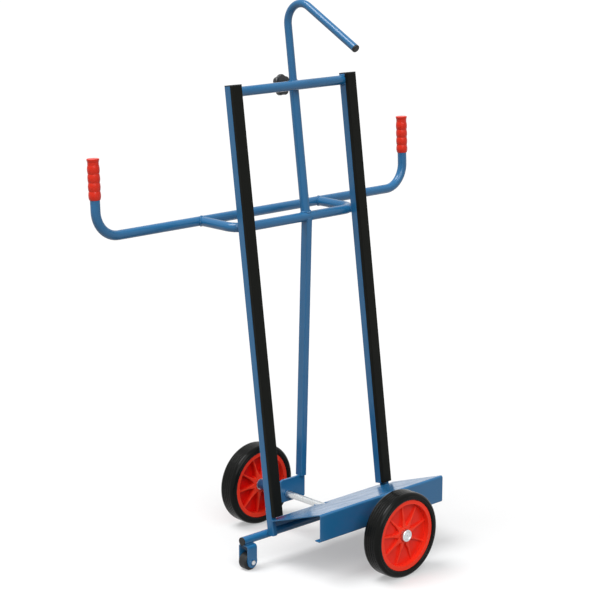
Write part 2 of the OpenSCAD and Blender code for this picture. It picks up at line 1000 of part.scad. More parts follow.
module knob_screw() {
    tip = hook_d / 2 + play;
    color(zinc)
        at_clamp()
            translate([0, 0, tip])
                cylinder(d = screw_d, h = knob_stand + knob_t / 2 - tip);
}

upright(-1);  // left_upright
upright(1);  // right_upright
rubber_strip(-1);  // left_rubber_strip
rubber_strip(1);  // right_rubber_strip
upright_cap(-1);  // left_upright_cap
upright_cap(1);  // right_upright_cap
top_crossbar();
clamp_sleeve();
clamp_nut();
handle_loop();
handlebar();
grip(-1);  // left_grip
grip(1);  // right_grip
rear_strut();
axle_plate();
deck();
axle();
axle_saddle();
front_spacer();
rear_spacer();
axle_washers();
axle_cap(-1);  // front_axle_cap
axle_cap(1);  // rear_axle_cap
roller_tube();
tube_cap(-1);  // left_tube_cap
tube_cap(1);  // right_tube_cap
fork(-1);  // left_fork
fork(1);  // right_fork
roller_bolt(-1);  // left_roller_bolt
roller_bolt(1);  // right_roller_bolt
roller_nut(-1);  // left_roller_nut
roller_nut(1);  // right_roller_nut
rim(-1);  // front_rim
tyre(-1);  // front_tyre
wheel_bushes(-1);  // front_wheel_bushes
rim(1);  // rear_rim
tyre(1);  // rear_tyre
wheel_bushes(1);  // rear_wheel_bushes
roller(-1);  // left_roller
roller_bush(-1);  // left_roller_bush
roller(1);  // right_roller
roller_bush(1);  // right_roller_bush
hook_tube();
hook_end_cap();
hook_guide_plug();
star_knob();
knob_screw();
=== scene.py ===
# %% [markdown]
# # Dressing a drywall cart
# The solids of a drywall cart come ready made from the CAD frame: blue tubes, a folded deck, two big wheels,
# two small rollers, a handlebar and a clamped hook.
# This lesson gives them the finishes of the real cart and adds what the solids leave out:
# weld beads, grooved tyres, threads, turned bolts and a moulded star knob.

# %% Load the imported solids
import json
import math

import bpy
from mathutils import Matrix, Vector


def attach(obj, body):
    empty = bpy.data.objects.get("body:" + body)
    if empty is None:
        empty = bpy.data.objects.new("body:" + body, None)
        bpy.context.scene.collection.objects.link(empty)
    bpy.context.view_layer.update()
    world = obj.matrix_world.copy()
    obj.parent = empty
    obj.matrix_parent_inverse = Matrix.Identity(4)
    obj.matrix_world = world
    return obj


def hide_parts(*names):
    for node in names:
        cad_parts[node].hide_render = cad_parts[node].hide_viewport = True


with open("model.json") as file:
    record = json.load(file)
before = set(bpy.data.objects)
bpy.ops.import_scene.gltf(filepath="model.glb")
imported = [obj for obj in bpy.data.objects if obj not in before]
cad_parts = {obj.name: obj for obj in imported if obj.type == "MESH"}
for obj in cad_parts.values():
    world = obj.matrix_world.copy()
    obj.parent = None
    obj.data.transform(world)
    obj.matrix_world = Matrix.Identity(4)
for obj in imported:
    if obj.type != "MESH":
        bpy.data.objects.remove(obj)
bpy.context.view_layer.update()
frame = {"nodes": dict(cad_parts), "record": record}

nodes = frame["nodes"]

# %% [markdown]
# ## The camera
# The photograph was taken from the loading side, from about 2 metres up and from far away.
# The place, the two angles and the focal length were fitted to the wheel's ellipse, to the points where
# the wheel and the roller touch the floor, and to the tubes that are level or upright.
# A long lens from far away keeps the cart's parallel tubes nearly parallel, as a product photograph does.

# %% Camera
SENSOR = 36.0
IMAGE_WIDTH = 600
FOCAL_PIXELS = 1888.95
CAMERA_PLACE = (-3.71436, -3.79609, 2.02343)
CAMERA_HEADING = 46.623
CAMERA_DIP = 13.476
CAMERA_REACH = 200

bpy.ops.object.camera_add(
    location=CAMERA_PLACE,
    rotation=(math.radians(90 - CAMERA_DIP), 0, math.radians(CAMERA_HEADING - 90)),
)
camera = bpy.context.object
camera.name = "camera"
camera.data.sensor_width = SENSOR
camera.data.lens = FOCAL_PIXELS * SENSOR / IMAGE_WIDTH
camera.data.clip_end = CAMERA_REACH
bpy.context.scene.camera = camera
print("Lens in millimetres:", round(camera.data.lens, 1))

# %% [markdown]
# ## Helpers for materials
# A material is a small network of nodes. One function adds a node, sets its properties and fills its sockets,
# either with a value or with a link from another node. Colours are written as sRGB hex values,
# the way a colour picker shows them, and turned into the linear values that the renderer works with.

# %% Node and colour helpers
MM = 0.001
MIX_A, MIX_B, MIX_RESULT = 6, 7, 2
FLOAT_A, FLOAT_B = 2, 3


def linear(hex_code):
    """Turns an sRGB hex colour into linear red, green, blue and alpha."""
    channels = [int(hex_code[i:i + 2], 16) / 255 for i in (1, 3, 5)]
    return [c / 12.92 if c <= 0.04045 else ((c + 0.055) / 1.055) ** 2.4 for c in channels] + [1]


def put(tree, kind, sockets, **settings):
    """Adds a node with its settings, and fills its sockets with values or links."""
    node = tree.nodes.new("ShaderNode" + kind)
    for name, value in settings.items():
        setattr(node, name, value)
    for name, value in sockets.items():
        if isinstance(value, bpy.types.NodeSocket):
            tree.links.new(value, node.inputs[name])
        else:
            node.inputs[name].default_value = value
    return node


def new_material(name):
    """Makes an empty material and gives its node tree."""
    material = bpy.data.materials.new(name)
    material.use_nodes = True
    material.node_tree.nodes.clear()
    return material, material.node_tree


print("Mid grey as linear light:", round(linear("#808080")[0], 3))

# %% [markdown]
# ## Floor, world and light
# The cart stands on a large pale floor that catches its soft shadow. Camera rays, and rays mirrored by a
# glossy skin, see a paler floor with a little glow. So the floor is white in the open, while the lamps, and
# the light that it throws back up, stay at a plain level on the cart.

# %% Floor and world
FLOOR_HALF = 60
FLOOR_COLOUR = "#B8B8B8"
BOUNCE_COLOUR = "#7C7C7C"
FLOOR_GLOW = 0.36
WORLD_LIGHT = 0.29


def seen_directly(tree):
    """One for rays that show the surroundings: from the camera, mirrored or through glass."""
    path = put(tree, "LightPath", {})
    shown = put(
        tree, "Math", {0: path.outputs["Is Camera Ray"], 1: path.outputs["Is Glossy Ray"]}, operation="ADD",
    )
    return put(
        tree, "Math", {0: shown.outputs[0], 1: path.outputs["Is Transmission Ray"]},
        operation="ADD", use_clamp=True,
    ).outputs[0]


bpy.ops.mesh.primitive_plane_add(size=2 * FLOOR_HALF, location=(0, 0, 0))
floor = bpy.context.object
floor.name = "floor"
paper, tree = new_material("white_paper_sweep")
shown = seen_directly(tree)
glow = put(tree, "Math", {0: shown, 1: FLOOR_GLOW}, operation="MULTIPLY")
tone = put(
    tree, "Mix", {0: shown, MIX_A: linear(BOUNCE_COLOUR), MIX_B: linear(FLOOR_COLOUR)}, data_type="RGBA",
)
matt = put(tree, "BsdfDiffuse", {"Color": tone.outputs[MIX_RESULT]})
shine = put(tree, "Emission", {"Color": linear("#FFFFFF"), "Strength": glow.outputs[0]})
both = put(tree, "AddShader", {0: matt.outputs[0], 1: shine.outputs[0]})
put(tree, "OutputMaterial", {"Surface": both.outputs[0]})
floor.data.materials.append(paper)

world = bpy.data.worlds.new("white_room")
world.use_nodes = True
tree = world.node_tree
tree.nodes.clear()
level = put(tree, "Mix", {0: seen_directly(tree), FLOAT_A: WORLD_LIGHT, FLOAT_B: 1.0}, data_type="FLOAT")
room = put(tree, "Background", {"Color": linear("#FFFFFF"), "Strength": level.outputs[0]})
put(tree, "OutputWorld", {"Surface": room.outputs[0]})
bpy.context.scene.world = world
bpy.context.scene.view_settings.view_transform = "Standard"
print("Floor and world set, world light", WORLD_LIGHT)

# %% [markdown]
# Two lamps are enough. A soft key from overhead, a little behind and to the left, draws the bright lines
# along the tubes' tops and lays the shadow before and beside the wheels. A wide, weaker fill from the loading
# side lights the fronts.

# %% Lights
LAMP_AWAY = 4
LIGHTS = {
    "key_light": {"place": (-0.5, 0.3, 1.35), "power": 2.5, "softness": 32},
    "front_fill": {"place": (-0.5, -1.0, 1.0), "power": 2.1, "softness": 50},
}

for name, lamp in LIGHTS.items():
    place = Vector(lamp["place"])
    bpy.ops.object.light_add(type="SUN", location=place * LAMP_AWAY)
    light = bpy.context.object
    light.name = name
    light.data.energy = lamp["power"]
    light.data.angle = math.radians(lamp["softness"])
    light.rotation_euler = place.to_track_quat("Z", "Y").to_euler()
    print(name, "from", [round(v, 2) for v in place])

# %% [markdown]
# ## One recipe for every finish
# Paint, plastic, rubber and plated steel differ in their numbers, but the eye reads the same four things on
# each: two close tones that drift over the surface, a gloss that isn't even, a fine grain, and edges that are
# slightly rounded and rubbed. One function builds these from sizes in millimetres. The Bevel node rounds the
# shading of sharp edges without touching the mesh, and the angle between that rounded normal and the true one
# shows where an edge is, so the same node also tells where the finish is thin or rubbed. A finish can have a
# pattern of its own too, and a shade in its pockets.

# %% Recipe for a finish
EDGE_START, EDGE_FULL = 0.995, 0.80
BEVEL_SAMPLES = 6
CLOUD_DETAIL, SMEAR_DETAIL, GRAIN_DETAIL = 5.0, 3.0, 2.0
SMEAR_LOW, SMEAR_HIGH = 0.3, 0.7


def finish(name, tones, drift, gloss, grain, edge, pattern=None, recess=None, **shader):
    """A material with two drifting tones, uneven gloss, a fine grain and rubbed edges.

    tones: main, second and edge colour; drift: size of the tones' patches in mm;
    gloss: lowest and highest roughness; grain: width and depth of the grain in mm;
    edge: rounding radius in mm and the share of the edge colour;
    pattern: gives one more height and its depth in mm;
    recess: gives the share of open surface, and the colour of the shade that gathers in the rest.
    """
    material, tree = new_material(name)
    place = put(tree, "TexCoord", {}).outputs["Object"]
    cloud = put(tree, "TexNoise", {"Vector": place, "Scale": 1 / (drift * MM), "Detail": CLOUD_DETAIL})
    main, second, edge_tone = (linear(tone) for tone in tones)
    tone = put(
        tree, "Mix", {0: cloud.outputs[0], MIX_A: main, MIX_B: second}, data_type="RGBA",
    ).outputs[MIX_RESULT]
    rounded = put(tree, "Bevel", {"Radius": edge[0] * MM}, samples=BEVEL_SAMPLES)
    true_normal = put(tree, "NewGeometry", {}).outputs["Normal"]
    agree = put(tree, "VectorMath", {0: rounded.outputs[0], 1: true_normal}, operation="DOT_PRODUCT")
    rub = put(
        tree, "MapRange",
        {"Value": agree.outputs["Value"], "From Min": EDGE_START, "From Max": EDGE_FULL, "To Max": edge[1]},
    )
    colour = put(
        tree, "Mix", {0: rub.outputs[0], MIX_A: tone, MIX_B: edge_tone}, data_type="RGBA",
    ).outputs[MIX_RESULT]
    if recess:
        open_share, shade = recess
        colour = put(
            tree, "Mix", {0: open_share(tree, place), MIX_A: linear(shade), MIX_B: colour}, data_type="RGBA",
        ).outputs[MIX_RESULT]
    smear = put(tree, "TexNoise", {"Vector": place, "Scale": 2 / (drift * MM), "Detail": SMEAR_DETAIL})
    spread = {"From Min": SMEAR_LOW, "From Max": SMEAR_HIGH, "To Min": gloss[0], "To Max": gloss[1]}
    rough = put(tree, "MapRange", {"Value": smear.outputs[0], **spread})
    normal = rounded.outputs[0]
    if pattern:
        height, depth = pattern(tree, place)
        normal = put(tree, "Bump", {"Height": height, "Distance": depth * MM, "Normal": normal}).outputs[0]
    bits = put(tree, "TexNoise", {"Vector": place, "Scale": 1 / (grain[0] * MM), "Detail": GRAIN_DETAIL})
    bump = put(tree, "Bump", {"Height": bits.outputs[0], "Distance": grain[1] * MM, "Normal": normal})
    skin = put(
        tree, "BsdfPrincipled",
        {"Base Color": colour, "Roughness": rough.outputs[0], "Normal": bump.outputs[0]},
    )
    for socket, value in shader.items():
        skin.inputs[socket.replace("_", " ")].default_value = value
    put(tree, "OutputMaterial", {"Surface": skin.outputs[0]})
    return material


print("Recipe ready; edges start where the normals agree less than", EDGE_START)

# %% [markdown]
# ## Blue powder coat
# The frame is welded steel tube and sheet, sprayed with polyester powder and baked. That gives a hard,
# even, half-gloss skin with a faint orange peel, and a slightly paler line where it is thin over sharp edges.
# Real orange peel is about 3 mm across; it is drawn at 9 mm here because the finer one can't show in the
# picture.

# %% Powder-coated steel
powder_coat = finish(
    "powder_coated_steel", tones=("#226796", "#1E608E", "#5B93BD"), drift=90, gloss=(0.19, 0.27),
    grain=(9, 0.03), edge=(1.2, 0.35), Specular_IOR_Level=0.4, IOR=1.5,
)
print("Made", powder_coat.name)

# %% [markdown]
# ## Rubber: strips, tyres and rollers
# The strips are extruded, so fine lines from the die run along them, and a Mapping node leans the pattern as
# the strips lean. Real die lines are finer; they are drawn 4 mm apart so that they show in the picture.
# The tyres are moulded, black and half glossy, with faint rings round the axle, which a Mapping node centres.
# The small rollers are a harder, slightly greyer rubber.

# %% Rubber finishes
LEAN = math.radians(7.7)
STRIP_LINE, STRIP_LINE_DEPTH, STRIP_LINE_WANDER = 4.0, 0.12, 0.4
WAVE_BAND = math.pi / 10
TYRE_RING, TYRE_RING_DEPTH = 5.5, 0.06
AXLE_PLACE = Vector((-0.023, 0, 0.125))


def die_lines(tree, place):
    """Lines from the extrusion die, along the strips. At scale 1 a band of the Wave node is pi / 10 wide."""
    turned = put(tree, "Mapping", {"Vector": place, "Rotation": (LEAN, 0, 0)})
    bands = {"Scale": WAVE_BAND / (STRIP_LINE * MM), "Distortion": STRIP_LINE_WANDER}
    wave = put(
        tree, "TexWave", {"Vector": turned.outputs[0], **bands}, wave_type="BANDS", bands_direction="X",
    )
    return wave.outputs["Fac"], STRIP_LINE_DEPTH


def mould_rings(tree, place):
    """Faint rings round the axle on a tyre's walls, as a turned mould leaves them."""
    centred = put(tree, "Mapping", {"Vector": place, "Location": -AXLE_PLACE})
    flat = put(tree, "VectorMath", {0: centred.outputs[0], 1: (1, 0, 1)}, operation="MULTIPLY")
    radius = put(tree, "VectorMath", {0: flat.outputs[0]}, operation="LENGTH")
    phase = put(
        tree, "Math", {0: radius.outputs["Value"], 1: 2 * math.pi / (TYRE_RING * MM)}, operation="MULTIPLY",
    )
    return put(tree, "Math", {0: phase.outputs[0]}, operation="SINE").outputs[0], TYRE_RING_DEPTH


strip_rubber = finish(
    "extruded_rubber", tones=("#121311", "#171815", "#232422"), drift=60, gloss=(0.45, 0.60),
    grain=(2.5, 0.04), edge=(1.0, 0.4), pattern=die_lines, Specular_IOR_Level=0.06,
)
tyre_rubber = finish(
    "moulded_tyre_rubber", tones=("#0D0E0D", "#121312", "#222321"), drift=45, gloss=(0.12, 0.20),
    grain=(3, 0.06), edge=(1.0, 0.4), pattern=mould_rings, Specular_IOR_Level=0.09,
)
roller_rubber = finish(
    "hard_roller_rubber", tones=("#1E1F1F", "#242525", "#343535"), drift=20, gloss=(0.40, 0.52),
    grain=(2.5, 0.03), edge=(0.8, 0.4), Specular_IOR_Level=0.25,
)
print("Made", strip_rubber.name, tyre_rubber.name, roller_rubber.name)

# %% [markdown]
# ## Plastics: rims, grips, caps and the knob
# The rims are moulded polypropylene, a warm red with a soft gloss. The grips are dipped PVC, which is softer
# and a deeper red. The black caps are polyethylene and the knob is a harder thermoset with more gloss.
# A mould's skin is nearly even, so the tones stay close and the rubbed edges only turn a touch paler.
# A rim's web lies deep between its ribs, where less light comes, so it is painted a darker red there as
# painted shade.

# %% Plastic finishes
WHEEL_Y = 305.0
WEB_HALF, RIB_HALF = 3.0, 14.0


def above_web(tree, place):
    """Zero on the web in the middle of a rim, rising to one on the crests of its ribs and its ring."""
    along = put(tree, "SeparateXYZ", {0: place}).outputs["Y"]
    outward = put(tree, "Math", {0: along}, operation="ABSOLUTE")
    from_middle = put(tree, "Math", {0: outward.outputs[0], 1: WHEEL_Y * MM}, operation="SUBTRACT")
    height = put(tree, "Math", {0: from_middle.outputs[0]}, operation="ABSOLUTE")
    limits = {"From Min": WEB_HALF * MM, "From Max": RIB_HALF * MM}
    return put(tree, "MapRange", {"Value": height.outputs[0], **limits}).outputs[0]


# Painted shade: above_web darkens the web between the ribs to a deeper red.
rim_plastic = finish(
    "moulded_polypropylene", tones=("#FF3E26", "#F73721", "#FF6A50"), drift=35, gloss=(0.28, 0.38),
    grain=(3, 0.03), edge=(1.5, 0.4), recess=(above_web, "#D4120A"), Specular_IOR_Level=0.16, IOR=1.49,
)
grip_plastic = finish(
    "dipped_pvc", tones=("#DA2C14", "#D12710", "#EA5C44"), drift=25, gloss=(0.26, 0.36),
    grain=(2.5, 0.05), edge=(1.0, 0.3), Specular_IOR_Level=0.25, IOR=1.53,
)
cap_plastic = finish(
    "black_polyethylene", tones=("#171818", "#1D1E1E", "#313232"), drift=15, gloss=(0.40, 0.52),
    grain=(2, 0.03), edge=(0.8, 0.4), Specular_IOR_Level=0.25, IOR=1.51,
)
knob_plastic = finish(
    "black_thermoset", tones=("#181A1C", "#1E2022", "#3A3C3E"), drift=12, gloss=(0.25, 0.36),
    grain=(2, 0.02), edge=(1.0, 0.4), Specular_IOR_Level=0.4, IOR=1.6,
)
print("Made", rim_plastic.name, grip_plastic.name, cap_plastic.name, knob_plastic.name)

# %% [markdown]
# ## Zinc-plated steel
# The axle, its caps, the bolts and the clamp screw are turned steel with a thin bright zinc plating.
# It is a metal with a soft shine and cloudy tones from a bluish to a plain grey. Its grooves get a painted
# shade.

# %% Zinc plating
GROOVE = 5.0
GROOVE_SAMPLES = 8


def out_of_grooves(tree, place):
    """One in the open, falling to zero in dimples and grooves a few millimetres wide."""
    return put(
        tree, "AmbientOcclusion", {"Distance": GROOVE * MM}, samples=GROOVE_SAMPLES, only_local=True,
    ).outputs["AO"]


# Painted shade: out_of_grooves darkens grooves and dimples to a near black.
zinc = finish(
    "zinc_plated_steel", tones=("#D6DADD", "#C4C6C5", "#EBEDEE"), drift=9, gloss=(0.22, 0.36),
    grain=(1.5, 0.02), edge=(0.6, 0.5), recess=(out_of_grooves, "#2E2F30"), Metallic=1.0,
)
print("Made", zinc.name)

# %% [markdown]
# ## Finishes onto the solids
# The record names a material slot for each solid, so most finishes go on by slot. A few solids share a slot
# but are a different stuff on the real cart, such as the rollers and the knob, and are named one by one.

# %% Assign the finishes
by_slot = {
    "blue_paint": powder_coat, "black_rubber": strip_rubber, "black_plastic": cap_plastic,
    "red_grip": grip_plastic, "red_plastic": rim_plastic, "tyre": tyre_rubber, "zinc": zinc,
}
by_node = {"left_roller": roller_rubber, "right_roller": roller_rubber, "star_knob": knob_plastic}
for part in frame["record"]["subparts"]:
    piece = nodes[part["node"]]
    for holder in piece.material_slots:
        holder.material = by_node.get(part["node"], by_slot[part["material_slot"]])

# %% [markdown]
# ## Helpers for modelling
# The pieces that follow are shaped with the same operators as by hand. An operator acts on all that is
# selected, so every step starts with nothing selected. When a piece is done, its place is written into
# its mesh, its doubles are merged, its faces are turned outwards, and it is told which body it rides on.

# %% Modelling helpers
DOUBLE_GAP = 0.002 * MM
SMOOTH_ANGLE = math.radians(38)


def only(*pieces):
    """Selects these pieces and nothing else; the first becomes the active one."""
    bpy.ops.object.select_all(action="DESELECT")
    for piece in pieces:
        piece.select_set(True)
    bpy.context.view_layer.objects.active = pieces[0]
    return pieces[0]


def pick(piece, wanted, kind="faces"):
    """Opens edit mode with those faces or vertices selected for which wanted(place, normal) is true."""
    only(piece)
    bpy.ops.object.mode_set(mode="EDIT")
    bpy.ops.mesh.select_mode(type="FACE" if kind == "faces" else "VERT")
    bpy.ops.mesh.select_all(action="DESELECT")
    bpy.ops.object.mode_set(mode="OBJECT")
    for item in piece.data.polygons if kind == "faces" else piece.data.vertices:
        item.select = wanted(item.center if kind == "faces" else item.co, item.normal)
    bpy.ops.object.mode_set(mode="EDIT")


def written(piece):
    """Leaves edit mode and writes a piece's place and turn into its mesh."""
    if piece.mode == "EDIT":
        bpy.ops.object.mode_set(mode="OBJECT")
    only(piece)
    bpy.ops.object.transform_apply(location=True, rotation=True, scale=True)
    return piece


def combine(piece, other, operation):
    """Cuts, joins or intersects a piece with another one, which is used up."""
    only(piece)
    bpy.ops.object.modifier_add(type="BOOLEAN")
    step = piece.modifiers[-1]
    step.operation, step.object, step.solver = operation, other, "EXACT"
    bpy.ops.object.modifier_apply(modifier=step.name)
    bpy.data.objects.remove(other, do_unlink=True)


def settle(piece, name, material, body, slot, *stands_for):
    """Cleans a piece's mesh, names it, gives it its finish, and lets it ride on a body."""
    written(piece)
    bpy.ops.object.mode_set(mode="EDIT")
    bpy.ops.mesh.select_all(action="SELECT")
    bpy.ops.mesh.remove_doubles(threshold=DOUBLE_GAP)
    bpy.ops.mesh.normals_make_consistent(inside=False)
    bpy.ops.object.mode_set(mode="OBJECT")
    bpy.ops.object.shade_smooth_by_angle(angle=SMOOTH_ANGLE)
    piece.name = name
    piece.data.name = name
    piece.data.materials.clear()
    piece.data.materials.append(material)
    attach(piece, body)
    if stands_for:
        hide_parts(*stands_for)
    print("Made", name, "with", len(piece.data.polygons), "faces")


print("Helpers ready")

# %% [markdown]
# ## Weld beads
# The frame is welded, and each joint shows a small rippled bead where the welder's pool froze in steps.
# A bead could be sculpted, but it is really one thin round form that follows the joint. So each one is a
# curve through points along the joint, with a round bevel whose radius swells and shrinks once for each
# ripple, turned into a mesh. Real ripples are near 1 mm apart; 2.6 mm is drawn so that they can be seen.

# %% Points and lines for the beads
LEAN_ORIGIN_Y = 2.5
FEWEST_STEPS = 4
ARC_STEPS = 32
ALONG = Vector((1, 0, 0))
ACROSS = Vector((0, 1, 0))
UP = Vector((0, 0, 1))


def leaning(x, n, s):
    """A point of the leaning frame in mm: along the cart, behind the uprights' backs, and up their slope."""
    return Vector((
        x, LEAN_ORIGIN_Y + n * math.cos(LEAN) + s * math.sin(LEAN), s * math.cos(LEAN) - n * math.sin(LEAN),
    ))


def even_points(path, step):
    """Points along a path at even steps."""
    lengths = [(b - a).length for a, b in zip(path, path[1:])]
    count = max(FEWEST_STEPS, round(sum(lengths) / step))
    gap = sum(lengths) / count
    points, walked = [path[0]], 0.0
    for a, b, length in zip(path, path[1:], lengths):
        while len(points) < count and walked + length >= len(points) * gap:
            points.append(a.lerp(b, (len(points) * gap - walked) / length))
        walked += length
    return points + [path[-1]]


def arc(centre, across, up, radius, first, last, steps=ARC_STEPS):
    """Points on a circle, by its centre, two directions and two angles in degrees."""
    turns = [math.radians(first + (last - first) * i / steps) for i in range(steps + 1)]
    return [centre + radius * (math.cos(t) * across + math.sin(t) * up) for t in turns]


def drawn_line(points, closed):
    """A curve of straight steps through points given in mm."""
    bpy.ops.object.select_all(action="DESELECT")
    bpy.ops.curve.primitive_nurbs_path_add()
    line = bpy.context.object
    line.data.splines.clear()
    spline = line.data.splines.new("POLY")
    spline.points.add(len(points) - 1)
    spline.use_cyclic_u = closed
    for spot, place in zip(spline.points, points):
        spot.co = (*(place * MM), 1)
    return line


BACK = leaning(0, 1, 0) - leaning(0, 0, 0)
SLOPE = leaning(0, 0, 1) - leaning(0, 0, 0)
print("The uprights' slope:", [round(v, 3) for v in SLOPE])

# %% Bead along a joint
BEAD_R = 1.9
RIPPLE = 2.6
RIPPLE_STEPS = 4
RIPPLE_SWELL = 0.16
BEAD_ROUNDNESS = 2
beads = []


def bead(path, size=1.0):
    """Lays one rippled weld bead along a path given in mm."""
    closed = (path[0] - path[-1]).length < RIPPLE / 2
    points = even_points(path, RIPPLE / RIPPLE_STEPS)
    if closed:
        points.pop()
    line = drawn_line(points, closed)
    for i, spot in enumerate(line.data.splines[0].points):
        spot.radius = size * (1 + RIPPLE_SWELL * math.cos(2 * math.pi * i / RIPPLE_STEPS))
    line.data.bevel_depth = BEAD_R * MM
    line.data.bevel_resolution = BEAD_ROUNDNESS
    line.data.use_fill_caps = not closed
    bpy.ops.object.convert(target="MESH")
    beads.append(bpy.context.object)


def gather(name):
    """Joins the beads laid so far into one piece of the frame."""
    only(*beads)
    bpy.ops.object.join()
    settle(beads[0], name, powder_coat, "frame", "blue_paint")
    beads.clear()


print("Bead radius", BEAD_R, "mm, ripples", RIPPLE, "mm apart")

# %% [markdown]
# ### Beads at the top of the frame
# The crossbar is a little thicker than the uprights, so it is welded on top and below, where the tube meets
# their flat inner faces. The clamp sleeve touches the crossbar in one spot, with a ring of weld round it,
# and the clamp nut has its own ring on the sleeve's round back.

# %% Beads on the crossbar, the sleeve and the clamp nut
TUBE_R = 14.0
INNER_X = 207.5
CROSSBAR_N, CROSSBAR_S = -12.5, 1366.0
CROSSBAR_SPREAD, CROSSBAR_INSET, CROSSBAR_OFF = 46, 0.8, 0.7
ON_TOP, BELOW = 90, 270
SPINE_X, SPINE_N, CLAMP_S = 37.0, 15.7, 1369.0
CONTACT_R, CONTACT_SIZE = 8.0, 0.8
NUT_RING_R, NUT_RING_OFF, NUT_RING_SIZE = 10.2, 0.3, 0.7
RING_STEPS = 48

for side in (-1, 1):
    end = leaning(side * (INNER_X - CROSSBAR_INSET), CROSSBAR_N, CROSSBAR_S)
    for middle in (ON_TOP, BELOW):
        spread = (middle - CROSSBAR_SPREAD, middle + CROSSBAR_SPREAD)
        bead(arc(end, BACK, SLOPE, TUBE_R + CROSSBAR_OFF, *spread))
contact = []
nut_ring = []
for i in range(RING_STEPS + 1):
    turn = 2 * math.pi * i / RING_STEPS
    x, s = CONTACT_R * math.cos(turn), CONTACT_R * math.sin(turn)
    bulge = (x * x - s * s) / (4 * TUBE_R)
    contact.append(leaning(SPINE_X + x, SPINE_N - TUBE_R + bulge, CROSSBAR_S + s))
    x, s = NUT_RING_R * math.cos(turn), NUT_RING_R * math.sin(turn)
    reach = math.sqrt(TUBE_R ** 2 - x * x) + NUT_RING_OFF
    nut_ring.append(leaning(SPINE_X + x, SPINE_N + reach, CLAMP_S + s))
bead(contact, CONTACT_SIZE)
bead(nut_ring, NUT_RING_SIZE)
gather("weld_beads_top")

# %% [markdown]
# ### Beads on the handle
# The loop's legs are cut to fit round the handlebar, so their beads run on the saddle curve where two equal
# tubes meet. The sleeve and the strut are cut round the loop in the same way, and the loop's bends touch the
# uprights' back edges with a short upright bead.

# %% Beads on the loop, the handlebar, the sleeve's foot and the strut
LOOP_N, LOOP_S = 10.655, 982.3
LOOP = leaning(0, LOOP_N, LOOP_S)
HANDLE_REACH = 160
LEG_X, BAR_Y = 235.0, LOOP.y + HANDLE_REACH
SADDLE_STEPS, SADDLE_R, SADDLE_BACK = 72, TUBE_R + 0.5, 1.2
EDGE_BEAD, EDGE_BEAD_STEPS, EDGE_OFF_X, EDGE_OFF_N = 10, 10, 0.8, 0.4
STRUT_HALF, STRUT_OFF = 10.0, 0.5
COPE_R = TUBE_R + 0.6
STRUT_FROM, STRUT_TO = 195, 345
SLEEVE_STEPS, SLEEVE_OPEN, SLEEVE_BEAD_R, SLEEVE_SIZE = 60, 54, TUBE_R + 0.4, 1.6

for side in (-1, 1):
    saddle = []
    for i in range(SADDLE_STEPS + 1):
        turn = 2 * math.pi * i / SADDLE_STEPS
        rise, out = SADDLE_R * math.cos(turn), SADDLE_R * math.sin(turn)
        saddle.append(Vector((side * LEG_X + out, BAR_Y - abs(out) - SADDLE_BACK, LOOP.z + rise)))
    bead(saddle)
    edge = [i / EDGE_BEAD_STEPS * EDGE_BEAD for i in range(-EDGE_BEAD_STEPS, EDGE_BEAD_STEPS + 1)]
    bead([
        leaning(side * (INNER_X + EDGE_OFF_X), EDGE_OFF_N + t * t / (4 * TUBE_R), LOOP_S + t) for t in edge
    ])
    cheek = LOOP + (SPINE_X + side * (STRUT_HALF + STRUT_OFF)) * ALONG
    bead(arc(cheek, ACROSS, UP, COPE_R, STRUT_FROM, STRUT_TO))
foot = []
for i in range(SLEEVE_STEPS + 1):
    turn = math.radians(SLEEVE_OPEN + (360 - 2 * SLEEVE_OPEN) * i / SLEEVE_STEPS)
    n = SPINE_N + SLEEVE_BEAD_R * math.cos(turn)
    lift = math.sqrt(max(0.0, COPE_R ** 2 - (n - LOOP_N) ** 2))
    foot.append(leaning(SPINE_X + SLEEVE_BEAD_R * math.sin(turn), n, LOOP_S + lift))
bead(foot, SLEEVE_SIZE)
gather("weld_beads_handle")

# %% [markdown]
# ### Beads on the chassis
# Below, the uprights' feet and the forks are welded along the roller tube, the deck's rear flange is
# stitched to it in short lengths so that the sheet doesn't warp, and the axle is welded to its saddle,
# to the plate under the strut and to the two spacers.

# %% Beads on the roller tube and the deck
ROLLER_Y, ROLLER_Z, ROLLER_TUBE_R = 26.844, 89.0, 12.0
STRAIGHT_STEPS = 8
FOOT_BEAD_OUT, FOOT_BEAD_IN = 242.0, 228.0
FOOT_BEAD_N, FOOT_BEAD_S = 1.0, 98.5
FORK_X, FORK_HALF = 308.0, 15.0
FORK_BEAD_Y, FORK_BEAD_SINK = 7.0, 1.0
FLANGE_BEAD_Y, FLANGE_BEAD_Z = 28.9, 101.5
STITCH = 32
STITCH_AT = (-170, -95, 45, 110, 175)


def straight(start, step):
    """A straight path from a point, by the step to its end."""
    return [start.lerp(start + step, i / STRAIGHT_STEPS) for i in range(STRAIGHT_STEPS + 1)]


for side in (-1, 1):
    start = leaning(side * FOOT_BEAD_OUT, FOOT_BEAD_N, FOOT_BEAD_S)
    bead(straight(start, side * (FOOT_BEAD_IN - FOOT_BEAD_OUT) * ALONG))
    for y in (-FORK_BEAD_Y, FORK_BEAD_Y):
        start = Vector((side * FORK_X - FORK_HALF, ROLLER_Y + y, ROLLER_Z - ROLLER_TUBE_R + FORK_BEAD_SINK))
        bead(straight(start, 2 * FORK_HALF * ALONG))
for x in STITCH_AT:
    bead(straight(Vector((x - STITCH / 2, FLANGE_BEAD_Y, FLANGE_BEAD_Z)), STITCH * ALONG))
print("Straight beads:", len(beads))

